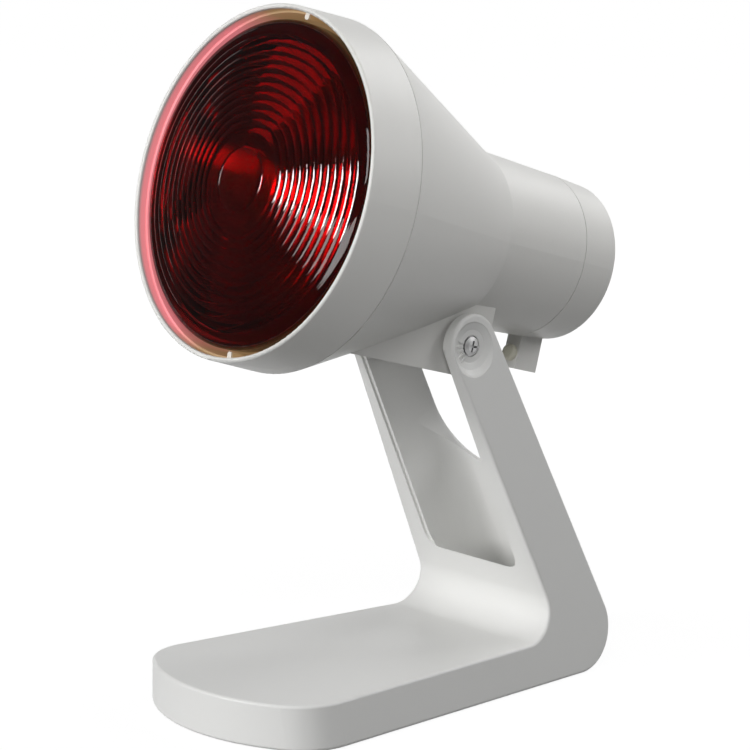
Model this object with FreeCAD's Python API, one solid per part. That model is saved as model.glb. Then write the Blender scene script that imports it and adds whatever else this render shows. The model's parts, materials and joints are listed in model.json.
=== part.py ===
"""Infrared heat lamp: a reflector bulb in a cone-shaped head that tilts in a one-piece forked stand.

Millimetres, +Z up. The lamp faces -Y and is symmetric about X = 0. The origin is at the bottom centre
of the whole lamp's box. Head pieces are drawn about their own axis, with Y as the depth behind the lip
of the front ring and Z as the height above the axis, and are then tilted about the fork's pivot.
"""
import math
import os

import FreeCAD
import Part

V = FreeCAD.Vector

# ---------------------------------------------------------------- driving dimensions: stand
feet_stand_off = 0.4            # how far the rubber feet hold the base off the table
base_top = 17.6                 # height of the base's top face
base_reach = 113.6              # from the pivot forward to the nose of the base
nose_radius = 72.3              # plan radius of the bowed front edge
nose_corner = 22.0              # plan radius of the two front corners
pivot_height = 136.7
eye_radius = 12.5               # round top of each prong
arm_front_lean = 24.6           # degrees from upright
arm_rear_lean = 26.0
inner_bend = 12.2               # radius between the base's top and the arm's front
rear_bend = 17.3                # radius of the heel
stand_half_width = 44.0         # at the table, straight under the pivot
plan_taper = 0.080              # half width lost per millimetre towards the rear
height_taper = 0.106            # half width lost per millimetre of height
stand_edge = 1.2                # rounding of the stand's edges
stand_wall = 3.0
prong_thickness = 4.71          # of each prong at the pivot
fork_half_gap = stand_half_width - height_taper * pivot_height - prong_thickness
edge_step_width = 1.7           # shallow step along the prongs' inner front edges
edge_step_depth = 1.0
arm_back_wall = 2.1
recess_round = 11.0             # radius between the recess's sides and the arm's back wall
recess_corner = 4.5             # radius between the recess's sides and its floor
recess_bottom = 44.2            # height of the recess's lower edge on the arm's front
recess_fall = 30.0              # degrees by which the recess's floor slopes down from that edge
saddle_height = 102.8           # height of the centre of the round cut in the arm's back wall
saddle_round = 1.8              # rounding of the cut's rear edge
hollow_top = 36.0               # the arm's sides are solid above this height

# ---------------------------------------------------------------- driving dimensions: stand underside
cover_thickness = 2.5
cover_clearance = 0.3
cover_heel_margin = 4.0         # from the cover's rear edge to the start of the heel
cover_corner = 6.0              # plan radius of the cover's two rear corners
foot_radius = 7.0
foot_recess = 1.2
foot_inset = 12.0               # foot centre from the base's sides and rear
front_foot_setback = 29.0       # foot centre from the tip of the nose
foot_chamfer = 0.3
foot_clearance = 0.1
cover_boss_radius = 4.0
cover_boss_from_foot = 19.0     # fore-and-aft distance from a foot to its screw
rib_thickness = 2.0
rib_pitch = 34.0
rib_count = 4
rib_height = 7.0

# ---------------------------------------------------------------- driving dimensions: head shell
tilt = 15.1                     # degrees, the head's rest position, front raised
pivot_depth = 101.1             # pivot behind the lip
pivot_drop = 41.25              # pivot below the head's axis
shell_wall = 2.2
bulb_rim_radius = 61.2
bulb_clearance = 3.3            # from the bulb's rim to the front ring's bore
lip_width = 1.8
lip_radius = bulb_rim_radius + bulb_clearance + lip_width
ring_flare = 0.85               # growth of the ring's outside from its lip to the cone
lip_round = 0.85
ring_depth = 22.55
ring_step_depth = 4.3           # where the ring's bore steps in a little
ring_step = 0.7
ring_step_end = 4.0             # from the end of the narrower bore to the back of the ring
spigot_length = 6.0
spigot_wall = 2.0
fit_gap = 0.15                  # between a spigot and its socket
seam_gap = 0.3                  # visible joint lines
cone_mouth_radius = lip_radius + ring_flare
neck_depth = 102.7              # where the cone meets the neck
neck_radius = 34.65
neck_overhang = 6.7             # from the lampholder's back to the end of the neck
neck_end_radius = 32.9
cap_length = 20.0
cap_end_radius = 31.7
cap_edge = 3.2
rib_angles = (79.0, 277.5)      # bulb ribs inside the ring, degrees anticlockwise from +X, seen from behind
bulb_rib_start = 1.2
bulb_rib_length = 8.5
bulb_rib_width = 2.2
bulb_rib_gap = 0.9              # between a rib and the bulb's rim

# ---------------------------------------------------------------- driving dimensions: hinge
hinge_gap = 1.2                 # from the block to each prong, taken up by a friction washer
block_half_width = fork_half_gap - hinge_gap
block_round = 12.1              # rounding of the block about the pivot
block_start_depth = 38.0        # where the block starts, inside the cone
block_wall = 2.5
boss_radius = 6.0
insert_radius = 3.4
insert_length = 9.5
insert_setback = 0.4            # from the block's side to the insert's outer end
insert_press = 0.02             # radial, so that the insert and its screw just clear what they grip
pivot_screw_radius = 2.5
pivot_screw_head_radius = 3.6
pivot_screw_head_height = 1.5
pivot_screw_tip_gap = 0.5       # the screw's tip stops this far short of the insert's inner end
pivot_slot_width = 0.8          # the cross in the screw's head
pivot_slot_depth = 1.0
running_gap = 0.06              # radial, between the screw's shank and the prong's bore
face_gap = 0.05                 # along the pivot, on each side of a washer
spring_washer_thickness = 0.45
spring_washer_radius = 3.8
friction_washer_radius = 8.0
dish_radius = 11.0              # round recess in the outside of each eye
dish_steps = ((8.4, 1.7), (6.4, 2.4))   # radius and depth of each concentric step
screw_well_radius = 4.2
screw_well_depth = 3.4
mark_count = 5                  # raised marks in the dish, one per tilt position
mark_pitch = 17.0
mark_centre = 12.0              # degrees below the horizontal, in front of the screw
mark_inner = 4.6
mark_outer = 7.8
mark_width = 0.7
mark_height = 0.7

# ---------------------------------------------------------------- driving dimensions: bulb
lens_edge_radius = bulb_rim_radius - 2.2
lens_edge_depth = 1.85
lens_rise = 6.0
lens_thickness = 4.0
lens_edge_round = 0.4
lens_ridge_first = 18.5
lens_ridge_last = lens_edge_radius - 2.5
lens_ridge_count = 11
lens_ridge_height = 0.6
bulb_rim_front = 5.2            # depth of the joint between lens and reflector
bulb_rim_length = 4.3
reflector_wall = 2.5
reflector_start_radius = bulb_rim_radius - 4.2
reflector_start_depth = 12.0
reflector_vertex_depth = 92.0
bulb_neck_radius = 19.0
bulb_neck_end = 104.0
bulb_neck_end_radius = 13.9
bulb_length = 136.0
screw_base_radius = 13.2
screw_base_length = 21.5
base_glass_length = 3.6
base_contact_radius = 4.8
base_contact_height = 2.4
filament_radius = 9.0
filament_wire = 0.5
lead_wire = 0.6
stem_length = 4.0

# ---------------------------------------------------------------- driving dimensions: lampholder and cap
holder_radius = 21.0
holder_front_gap = 0.6          # from the bulb's glass neck back to the porcelain
holder_shoulder = 6.0           # length of the porcelain's tapered front
holder_floor_wall = 3.85
holder_bore_gap = 0.25          # between the porcelain and the threaded shell
thread_shell_wall = 0.5
thread_shell_gap = 0.2          # between the shell and the bulb's base
thread_shell_front_gap = 3.0
thread_shell_rear_gap = 6.0
contact_strip_width = 7.0
contact_strip_thickness = 0.6
contact_strip_rise = 3.6        # run of the strip's slope up from the porcelain floor
contact_floor = 3.8             # from the bulb's tip to the porcelain floor
plate_thickness = 1.2
plate_hub_radius = 20.5
plate_bore = 12.0
plate_ear_width = 8.0
bracket_boss_radius = 3.4
bracket_boss_length = 21.0
bracket_boss_angles = (90.0, 210.0, 330.0)
small_screw_radius = 1.5
small_head_radius = 2.7
small_head_height = 1.8
small_head_chamfer = 0.6
screw_hole_gap = 0.1
small_screw_length = 9.0
holder_screw_offset = 16.0
terminal_offset = 6.5
terminal_size = (5.6, 6.5, 7.6)
cap_spigot_length = 3.4
cap_post_radius = 4.4
cap_post_offset = 23.5
cap_well_radius = 3.1
cap_well_depth = 9.0
vent_count = 12
vent_inner = 9.0
vent_outer = 18.0
vent_width = 2.4
lug_setback = 16.2              # from the cap's rear face forward to the lug's front
lug_length = 11.8
lug_half_width = 3.9
lug_drop = 45.9
duct_radius = 2.2
duct_drop = 39.9
duct_setback = 12.4             # from the cap's rear face forward to the axis of the duct's rise
duct_rise_radius = 2.6
bush_flange_radius = 3.3
bush_flange_length = 2.4
bush_dimple_radius = 1.9
bush_dimple_depth = 0.3
bush_neck_length = 4.5
bush_bore = 1.5
bush_fit = 0.05
clamp_drop = 22.0
clamp_screw_offset = 8.5
clamp_boss_radius = 3.2
clamp_boss_length = 6.0
clamp_thickness = 2.4
clamp_width = 6.4

# ---------------------------------------------------------------- derived places
base_bottom = feet_stand_off
lens_front_depth = lens_edge_depth - lens_rise
bulb_tip_depth = lens_front_depth + bulb_length
screw_base_front = bulb_tip_depth - base_contact_height - base_glass_length - screw_base_length
shell_inner = screw_base_radius + thread_shell_gap
shell_outer = shell_inner + thread_shell_wall
holder_bore = shell_outer + holder_bore_gap
holder_front = bulb_neck_end + holder_front_gap
holder_floor = bulb_tip_depth + contact_floor
holder_back = holder_floor + holder_floor_wall
neck_end_depth = holder_back + neck_overhang
cap_end_depth = neck_end_depth + cap_length
lug_front = cap_end_depth - lug_setback
lug_rear = lug_front + lug_length
rear_depth = cap_end_depth - pivot_depth
REACH = 80.0                    # half width of the tools that cut right across the stand
TALL = 220.0


def cosd(angle):
    return math.cos(math.radians(angle))


def sind(angle):
    return math.sin(math.radians(angle))


def rearmost_point():
    """How far behind the pivot the tilted cap's rounded rear edge reaches."""
    depth = rear_depth - cap_edge
    height = pivot_drop + cap_end_radius - cap_edge
    return depth * cosd(tilt) + height * sind(tilt) + cap_edge


pivot_y = (base_reach - rearmost_point()) / 2
nose_y = pivot_y - base_reach
PIVOT = V(0, pivot_y, pivot_height)


# ---------------------------------------------------------------- shape helpers
def rounded_edges(corners):
    """Edges of a closed outline from (point, radius) corners, with a tangent arc at each radius."""
    edges = []
    ends = []
    for i, (corner, radius) in enumerate(corners):
        before = (corners[i - 1][0] - corner).normalize()
        after = (corners[(i + 1) % len(corners)][0] - corner).normalize()
        if radius <= 0:
            ends.append((corner, corner))
            continue
        half = before.getAngle(after) / 2
        bisector = (before + after).normalize()
        reach = radius / math.tan(half)
        centre = corner + bisector * (radius / math.sin(half))
        start, end = corner + before * reach, corner + after * reach
        edges.append(Part.Arc(start, centre - bisector * radius, end).toShape())
        ends.append((start, end))
    for i in range(len(corners)):
        start, end = ends[i][1], ends[(i + 1) % len(corners)][0]
        if start.distanceToPoint(end) > 1e-6:
            edges.append(Part.LineSegment(start, end).toShape())
    return Part.Wire(Part.__sortEdges__(edges))


def rounded_prism(corners, along):
    return Part.Face(rounded_edges(corners)).extrude(along)


def turned(points):
    """A solid of revolution about Y from (radius, depth) points; a point may carry a rounding radius."""
    corners = [(V(p[0], p[1], 0), p[2] if len(p) > 2 else 0) for p in points]
    return Part.Face(rounded_edges(corners)).revolve(V(0, 0, 0), V(0, 1, 0), 360)


def rod(radius, front, rear, x=0.0, z=0.0):
    """A cylinder along the head's axis between two depths."""
    return Part.makeCylinder(radius, rear - front, V(x, front, z), V(0, 1, 0))


def tube(outer, inner, front, rear, x=0.0, z=0.0):
    return rod(outer, front, rear, x, z).cut(rod(inner, front - 1, rear + 1, x, z))


def cross_rod(radius, start, end, y=0.0, z=0.0):
    """A cylinder along X between two X values."""
    return Part.makeCylinder(radius, abs(end - start), V(start, y, z), V(math.copysign(1, end - start), 0, 0))


def box(x0, x1, y0, y1, z0, z1):
    return Part.makeBox(x1 - x0, y1 - y0, z1 - z0, V(x0, y0, z0))


def joined(shapes):
    first, rest = shapes[0], shapes[1:]
    return (first.fuse(rest) if rest else first).removeSplitter()


def mirrored(shape):
    return shape.mirror(V(0, 0, 0), V(1, 0, 0))


def group(shapes):
    return Part.makeCompound(shapes)


def set_in_head(shape):
    """Tilts a head piece about the pivot and puts it in the lamp's frame."""
    to_pivot = FreeCAD.Placement(V(0, -pivot_depth, pivot_drop), FreeCAD.Rotation())
    tilted = FreeCAD.Placement(PIVOT, FreeCAD.Rotation(V(1, 0, 0), -tilt))
    placed = shape.copy()
    placed.Placement = tilted.multiply(to_pivot).multiply(placed.Placement)
    return placed


def polar(radius, angle):
    """X and Z of a point round the head's axis."""
    return radius * cosd(angle), radius * sind(angle)


# ---------------------------------------------------------------- stand
def side_half_width(y, z, inset=0.0):
    """Half width of the stand at a place on its tapering side planes."""
    slant = math.sqrt(1 + plan_taper ** 2 + height_taper ** 2)
    return stand_half_width - plan_taper * (y - pivot_y) - height_taper * z - inset * slant


def crossing(point, direction, z):
    """Where a line in the YZ plane reaches height z."""
    return point + direction * ((z - point.z) / direction.z)


def arm_line(lean, side, inset=0.0):
    """A point and the upward direction of the arm's front (-1) or rear (+1) face, tangent to the eye."""
    normal = V(0, side * cosd(lean), side * sind(lean))
    return PIVOT + normal * (eye_radius - inset), V(0, -sind(lean), cosd(lean))


def side_corners(inset=0.0):
    """The stand's side outline: base, heel, arm, round eye and inner bend."""
    front_point, front_up = arm_line(arm_front_lean, -1, inset)
    rear_point, rear_up = arm_line(arm_rear_lean, 1, inset)
    heel = crossing(rear_point, rear_up, base_bottom + inset)
    elbow = crossing(front_point, front_up, base_top - inset)
    opening = math.radians(arm_rear_lean - arm_front_lean)
    top = rear_point + rear_up * ((eye_radius - inset) / math.tan(opening / 2))
    nose_bottom = V(0, nose_y + inset, base_bottom + inset)
    nose_top = V(0, nose_y + inset, base_top - inset)
    return [(nose_bottom, 0), (heel, rear_bend - inset), (top, eye_radius - inset), (elbow, inner_bend + inset),
            (nose_top, 0)]


def side_prism(inset, half_width):
    corners = [(point - V(half_width, 0, 0), radius) for point, radius in side_corners(inset)]
    return rounded_prism(corners, V(2 * half_width, 0, 0))


def taper_block(inset=0.0):
    """The space between the stand's two tapering side planes."""
    sections = []
    for z in (-REACH, TALL):
        corners = []
        for y, side in ((-2 * REACH, -1), (-2 * REACH, 1), (2 * REACH, 1), (2 * REACH, -1)):
            corners.append(V(side * side_half_width(y, z, inset), y, z))
        sections.append(Part.makePolygon(corners + corners[:1]))
    return Part.makeLoft(sections, True, True)


def nose_block(inset=0.0):
    """The space behind the base's bowed front edge."""
    radius = nose_radius - inset
    centre = nose_y + nose_radius
    half = nose_radius * 0.8
    side_y = centre - math.sqrt(radius ** 2 - half ** 2)
    bow = Part.Arc(V(-half, side_y, -REACH), V(0, centre - radius, -REACH), V(half, side_y, -REACH)).toShape()
    back = Part.makePolygon([V(half, side_y, -REACH), V(half, 2 * REACH, -REACH), V(-half, 2 * REACH, -REACH),
                             V(-half, side_y, -REACH)])
    return Part.Face(Part.Wire([bow] + back.Edges)).extrude(V(0, 0, REACH + TALL))


def upright_edges(shape, y_limit):
    """Near-vertical edges in front of y_limit, which are the corners of a plan outline."""
    chosen = []
    for edge in shape.Edges:
        size = edge.BoundBox
        if size.ZLength > 3 * max(size.XLength, size.YLength, 0.01) and size.YMax < y_limit:
            chosen.append(edge)
    return chosen


def stand_solid(inset=0.0):
    """The stand's outer form, or the same form smaller by a wall."""
    solid = side_prism(inset, REACH).common(taper_block(inset)).common(nose_block(inset))
    corners = upright_edges(solid, nose_y + nose_corner * 2)
    return solid.makeFillet(nose_corner - inset, corners)


def side_rim_edges(solid):
    """Edges of the two side faces and of the base's top and bottom faces, which carry the soft rounding."""
    chosen = []
    for edge in solid.Edges:
        on_side = all(abs(abs(v.X) - side_half_width(v.Y, v.Z)) < 0.02 for v in edge.Vertexes)
        level = edge.BoundBox.ZLength < 0.01 and edge.BoundBox.ZMin < base_top + 0.1
        upright = edge.BoundBox.ZLength > 3 * max(edge.BoundBox.XLength, edge.BoundBox.YLength, 0.01)
        if (on_side or level) and not upright and len(edge.Vertexes) == 2:
            middle = edge.valueAt((edge.FirstParameter + edge.LastParameter) / 2)
            if on_side or middle.y < nose_y + 2 * nose_corner:
                chosen.append(edge)
    return chosen


def heel_start():
    """Y where the underside turns up into the heel."""
    rear_point, rear_up = arm_line(arm_rear_lean, 1)
    corner = crossing(rear_point, rear_up, base_bottom)
    return corner.y - rear_bend / math.tan(math.radians(90 - arm_rear_lean) / 2)


def plan_plate(inset, low, high, rear):
    """A plate with the base's plan outline, smaller by an inset, back to a straight rear edge."""
    deep = box(-REACH, REACH, -2 * REACH, rear, -base_top, 2 * base_top)
    solid = taper_block(inset).common(nose_block(inset)).common(deep)
    front_corners = upright_edges(solid, nose_y + nose_corner * 2)
    solid = solid.makeFillet(nose_corner - inset, front_corners)
    rear_corners = [edge for edge in upright_edges(solid, rear + 1) if edge.BoundBox.YMin > rear - 1]
    solid = solid.makeFillet(cover_corner, rear_corners)
    return solid.common(box(-REACH, REACH, -2 * REACH, rear, low, high))


def foot_places():
    rear = heel_start() - cover_heel_margin - foot_inset
    front = nose_y + front_foot_setback
    places = []
    for y in (front, rear):
        x = side_half_width(y, 0) - foot_inset
        places += [(x, y), (-x, y)]
    return places


def cover_screw_places():
    middle = sum(y for _, y in foot_places()) / 4
    return [(x, y + math.copysign(cover_boss_from_foot, middle - y)) for x, y in foot_places()]


def eye_face():
    """X of the prong's outer face at the pivot."""
    return side_half_width(pivot_y, pivot_height)


def eye_recess():
    """Tool for the right prong: the stepped round dish, the screw's well and the bore."""
    outer = eye_face()
    points = [(0, fork_half_gap - 1), (pivot_screw_radius + running_gap, fork_half_gap - 1),
              (pivot_screw_radius + running_gap, outer - screw_well_depth),
              (screw_well_radius, outer - screw_well_depth), (screw_well_radius, outer - dish_steps[-1][1])]
    for (radius, depth), outside in zip(reversed(dish_steps), (dish_steps[0][0], dish_radius)):
        points += [(radius, outer - depth), (radius + (outside - radius) * 0.25, outer - depth * 0.9)]
    points += [(dish_radius, outer), (dish_radius + 1.5, outer + 3), (0, outer + 3)]
    tool = turned(points)
    tool.rotate(V(0, 0, 0), V(0, 0, 1), -90)
    tool.translate(PIVOT)
    return tool


def tilt_marks():
    """Small raised marks beside the right pivot screw, one for each position of the head."""
    floor = eye_face() - dish_steps[-1][1]
    half = mark_width / 2
    marks = []
    for i in range(mark_count):
        mark = box(floor - 0.2, floor + mark_height, -mark_outer, -mark_inner, -half, half)
        mark.rotate(V(0, 0, 0), V(1, 0, 0), mark_centre + (i - (mark_count - 1) / 2) * mark_pitch)
        mark.translate(PIVOT)
        marks.append(mark)
    return marks


def recess_floor(sunk=0.0):
    """The space over the recess's floor, between the prongs, or the same grown by a wall on three sides."""
    point, up = arm_line(arm_front_lean, -1)
    half = fork_half_gap + sunk
    space = box(-half, half, -2 * REACH, TALL, -sunk, TALL)
    low_edges = [e for e in space.Edges if e.BoundBox.ZMax < 0.1 and e.BoundBox.YLength > 1]
    space = space.makeFillet(recess_corner + sunk, low_edges)
    space.rotate(V(0, 0, 0), V(1, 0, 0), -recess_fall)
    space.translate(crossing(point, up, recess_bottom))
    return space


def recess_tool():
    """The deep recess in the arm's front, open between the prongs and closed by the arm's back wall."""
    point, up = arm_line(arm_rear_lean, 1, arm_back_wall)
    tool = box(-fork_half_gap, fork_half_gap, -2 * REACH, 0, -REACH, TALL)
    back_edges = [e for e in tool.Edges if e.BoundBox.YMin > -0.1 and e.BoundBox.ZLength > 1]
    tool = tool.makeFillet(recess_round, back_edges)
    tool.rotate(V(0, 0, 0), V(1, 0, 0), arm_rear_lean)
    tool.translate(crossing(point, up, recess_bottom))
    return tool.common(recess_floor())


def saddle_tool():
    """The round-bottomed cut in the arm's back wall, with its rear edge rounded."""
    point, up = arm_line(arm_rear_lean, 1)
    reach = arm_back_wall + recess_round + 1
    mouth = fork_half_gap + 2 * saddle_round
    low_end = turned([(0, -reach), (fork_half_gap, -reach), (fork_half_gap, 0, saddle_round), (mouth, 0),
                      (mouth, reach), (0, reach)])
    right = [(V(fork_half_gap, -reach, 0), 0), (V(fork_half_gap, 0, 0), saddle_round), (V(mouth, 0, 0), 0),
             (V(mouth, reach, 0), 0)]
    left = [(V(-corner.x, corner.y, 0), radius) for corner, radius in reversed(right)]
    tool = low_end.fuse(rounded_prism(right + left, V(0, 0, TALL)))
    tool.rotate(V(0, 0, 0), V(1, 0, 0), arm_rear_lean)
    tool.translate(crossing(point, up, saddle_height))
    return tool


def edge_step_tool():
    """The shallow step along the recess's front edges, on the inner side of both prongs."""
    point, up = arm_line(arm_front_lean, -1)
    half = fork_half_gap + edge_step_width
    tool = box(-half, half, -stand_wall, edge_step_depth, 0, TALL)
    low_edges = [e for e in tool.Edges if e.BoundBox.ZMax < 0.1 and e.BoundBox.YLength > 1]
    tool = tool.makeFillet(recess_corner + edge_step_width, low_edges)
    tool.rotate(V(0, 0, 0), V(1, 0, 0), arm_front_lean)
    tool.translate(crossing(point, up, recess_bottom))
    return tool


def underside_ribs(cavity):
    """Cross ribs under the base's top, trimmed to the hollow."""
    ribs = []
    top = base_top - stand_wall
    for i in range(rib_count):
        y = nose_y + nose_corner + rib_pitch * (i + 0.6)
        ribs.append(box(-REACH, REACH, y, y + rib_thickness, top - rib_height, top + 0.5).common(cavity))
    return ribs


def make_stand():
    outer = stand_solid()
    outer = outer.makeFillet(stand_edge, side_rim_edges(outer))
    cover_rear = heel_start() - cover_heel_margin
    base_hollow = plan_plate(stand_wall, base_bottom - 1, base_top - stand_wall, cover_rear)
    low_hollow = stand_solid(stand_wall).common(box(-REACH, REACH, -2 * REACH, 2 * REACH, 0, hollow_top))
    stand = outer.cut([base_hollow, low_hollow.cut(recess_floor(stand_wall)), recess_tool(), saddle_tool(),
                       edge_step_tool()])
    marks = tilt_marks()
    tool = eye_recess()
    stand = stand.cut([tool, mirrored(tool)])
    boss_start = base_bottom + cover_thickness
    boss_length = base_top - stand_wall + 0.5 - boss_start
    bosses = [Part.makeCylinder(cover_boss_radius, boss_length, V(x, y, boss_start))
              for x, y in cover_screw_places()]
    stand = stand.fuse(bosses + underside_ribs(base_hollow) + marks + [mirrored(m) for m in marks])
    holes = [Part.makeCylinder(small_screw_radius + screw_hole_gap, small_screw_length, V(x, y, base_bottom))
             for x, y in cover_screw_places()]
    return stand.cut(holes).removeSplitter()


def countersunk_hole(x, y, low):
    """A hole for a small countersunk screw whose head is flush with the lower face."""
    return countersunk_solid(x, y, low, screw_hole_gap, cover_thickness + 1)


def countersunk_solid(x, y, low, gap, length):
    shank = small_screw_radius + gap
    head = small_head_radius + gap
    points = [(0, -gap), (head, -gap), (head, 0.2), (shank, head - shank + 0.2), (shank, length), (0, length)]
    solid = turned(points)
    solid.rotate(V(0, 0, 0), V(1, 0, 0), 90)
    solid.translate(V(x, y, low))
    return solid


def make_base_cover():
    rear = heel_start() - cover_heel_margin - cover_clearance
    cover = plan_plate(stand_wall + cover_clearance, base_bottom, base_bottom + cover_thickness, rear)
    tools = [countersunk_hole(x, y, base_bottom) for x, y in cover_screw_places()]
    tools += [Part.makeCylinder(foot_radius + foot_clearance, foot_recess + 1, V(x, y, base_bottom - 1))
              for x, y in foot_places()]
    return cover.cut(tools)


def make_rubber_feet():
    top = base_bottom + foot_recess
    foot = turned([(0, 0), (foot_radius - foot_chamfer, 0), (foot_radius, foot_chamfer), (foot_radius, top),
                   (0, top)])
    foot.rotate(V(0, 0, 0), V(1, 0, 0), 90)
    feet = []
    for x, y in foot_places():
        feet.append(foot.translated(V(x, y, 0)))
    return group(feet)


def make_cover_screws():
    return group([countersunk_solid(x, y, base_bottom, 0.0, small_screw_length - 0.5)
                  for x, y in cover_screw_places()])


# ---------------------------------------------------------------- head shell
def cone_radius(depth):
    share = (depth - ring_depth) / (neck_depth - ring_depth)
    return cone_mouth_radius + (neck_radius - cone_mouth_radius) * share


def neck_outer(depth):
    share = (depth - neck_depth) / (neck_end_depth - neck_depth)
    return neck_radius + (neck_end_radius - neck_radius) * share


def make_front_ring():
    bore = lip_radius - lip_width
    inner = bore - ring_step
    spigot_end = ring_depth + spigot_length
    mouth = cone_mouth_radius - shell_wall - fit_gap
    far = cone_radius(spigot_end) - shell_wall - fit_gap
    ring = turned([(bore, 0, lip_round), (lip_radius, 0, lip_round), (cone_mouth_radius, ring_depth),
                   (mouth, ring_depth), (far, spigot_end), (far - spigot_wall, spigot_end),
                   (mouth - spigot_wall, ring_depth - 1), (inner, ring_depth - ring_step_end),
                   (inner, ring_step_depth + 0.4), (bore, ring_step_depth)])
    ribs = []
    depth_end = bulb_rib_start + bulb_rib_length
    reach = bulb_rim_radius + bulb_rib_gap
    for angle in rib_angles:
        rib = box(reach, bore + 0.6, bulb_rib_start, depth_end, -bulb_rib_width / 2, bulb_rib_width / 2)
        tip = [e for e in rib.Edges if e.BoundBox.XMax < reach + 0.01 and e.BoundBox.YLength > 1]
        rib = rib.makeFillet(bulb_rib_width * 0.4, tip)
        rib.rotate(V(0, 0, 0), V(0, 1, 0), -angle)
        ribs.append(rib)
    return ring.fuse(ribs).removeSplitter()


def block_prism(inset=0.0):
    """The hinge block under the cone: flat below, rounded about the pivot behind."""
    low = -pivot_drop - block_round + inset
    rear = pivot_depth + block_round - inset
    round_corner = block_round - inset
    half = block_half_width - inset
    top = -neck_radius * 0.6
    start = block_start_depth + 3 * inset
    corners = [(V(-half, start, low), 0), (V(-half, rear, low), round_corner), (V(-half, rear, top), 0),
               (V(-half, start, top), 0)]
    return rounded_prism(corners, V(2 * half, 0, 0))


def insert_span():
    """X of the inner and outer ends of the right brass insert."""
    outer = block_half_width - insert_setback
    return outer - insert_length, outer


def make_cone_housing():
    outer = turned([(0, ring_depth + seam_gap), (cone_mouth_radius, ring_depth + seam_gap),
                    (neck_radius, neck_depth, 2.0), (neck_end_radius, neck_end_depth), (0, neck_end_depth)])
    wall = shell_wall
    hollow = turned([(0, ring_depth - 1), (cone_radius(ring_depth - 1) - wall, ring_depth - 1),
                     (neck_radius - wall, neck_depth, 1.0), (neck_end_radius - wall, neck_end_depth),
                     (neck_end_radius - wall, neck_end_depth + 1), (0, neck_end_depth + 1)])
    housing = outer.fuse(block_prism()).cut([hollow, block_prism(block_wall)])
    start, _ = insert_span()
    end = block_half_width - 0.5
    extras = [cross_rod(boss_radius, side * (start - 2), side * end, pivot_depth, -pivot_drop) for side in (1, -1)]
    radius = bracket_boss_circle()
    for angle in bracket_boss_angles:
        x, z = polar(radius, angle)
        extras.append(rod(bracket_boss_radius, holder_back - bracket_boss_length, holder_back, x, z))
    housing = housing.fuse(extras)
    tools = [cross_rod(insert_radius, side * start, side * (block_half_width + 1), pivot_depth, -pivot_drop)
             for side in (1, -1)]
    for angle in bracket_boss_angles:
        x, z = polar(radius, angle)
        tools.append(rod(small_screw_radius + screw_hole_gap, holder_back - small_screw_length,
                         holder_back + 1, x, z))
    return housing.cut(tools).removeSplitter()


def bracket_boss_circle():
    """Radius at which the lampholder plate's bosses stand, merged into the neck's wall."""
    return neck_outer(holder_back) - shell_wall - bracket_boss_radius * 0.85


def make_rear_cap():
    start = neck_end_depth + seam_gap
    wall = shell_wall
    spigot = neck_end_radius - wall - fit_gap
    inside = spigot - 2.0
    floor = cap_end_depth - wall
    cap = turned([(spigot, start - cap_spigot_length), (spigot, start), (neck_end_radius, start),
                  (cap_end_radius, cap_end_depth, cap_edge), (0, cap_end_depth), (0, floor),
                  (cap_end_radius - wall, floor, cap_edge - 1), (inside, start + 2),
                  (inside, start - cap_spigot_length)])
    extras = [box(-lug_half_width, lug_half_width, lug_front, lug_rear, -lug_drop, -cap_end_radius + wall)]
    plate_rear = holder_back + plate_thickness
    for side in (1, -1):
        extras.append(rod(cap_post_radius, plate_rear, floor + 0.5, side * cap_post_offset))
        extras.append(rod(clamp_boss_radius, floor - clamp_boss_length, floor + 0.5,
                          side * clamp_screw_offset, -clamp_drop))
    cap = cap.fuse(extras)
    duct_depth = cap_end_depth - duct_setback
    tools = [rod(duct_radius, lug_front - 1, duct_depth, 0, -duct_drop),
             Part.makeCylinder(duct_rise_radius, duct_drop - cap_end_radius + 2 * wall + 2,
                               V(0, duct_depth, -duct_drop - duct_rise_radius))]
    for side in (1, -1):
        x = side * cap_post_offset
        tools.append(rod(small_screw_radius + screw_hole_gap, plate_rear - 1, cap_end_depth + 1, x))
        tools.append(rod(cap_well_radius, cap_end_depth - cap_well_depth, cap_end_depth + 1, x))
        tools.append(rod(small_screw_radius + screw_hole_gap, floor - clamp_boss_length - 1, floor - 0.5,
                         side * clamp_screw_offset, -clamp_drop))
    for i in range(vent_count):
        slot = box(vent_inner, vent_outer, floor - 1, cap_end_depth + 1, -vent_width / 2, vent_width / 2)
        slot.rotate(V(0, 0, 0), V(0, 1, 0), 360.0 * (i + 0.5) / vent_count)
        tools.append(slot)
    return cap.cut(tools).removeSplitter()


def make_cord_bush():
    """A plain bush, closed in front because the cord is left out."""
    neck = duct_radius - bush_fit
    front = lug_front - bush_flange_length
    neck_end = lug_front + bush_neck_length
    bush = turned([(0, front + bush_dimple_depth), (bush_dimple_radius, front + bush_dimple_depth),
                   (bush_dimple_radius + bush_dimple_depth, front), (bush_flange_radius, front, 0.9),
                   (bush_flange_radius, lug_front), (neck, lug_front), (neck, neck_end), (bush_bore, neck_end),
                   (bush_bore, lug_front), (0, lug_front)])
    bush.translate(V(0, 0, -duct_drop))
    return bush


# ---------------------------------------------------------------- bulb
def dome_sag(edge, rise, radius):
    """How far a spherical dome, of a given rise at its edge, has fallen back at a radius."""
    sphere = (edge ** 2 + rise ** 2) / (2 * rise)
    return sphere - math.sqrt(sphere ** 2 - radius ** 2)


def lens_depth(radius):
    """Depth of the domed face at a radius."""
    return lens_front_depth + dome_sag(lens_edge_radius, lens_rise, radius)


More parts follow.
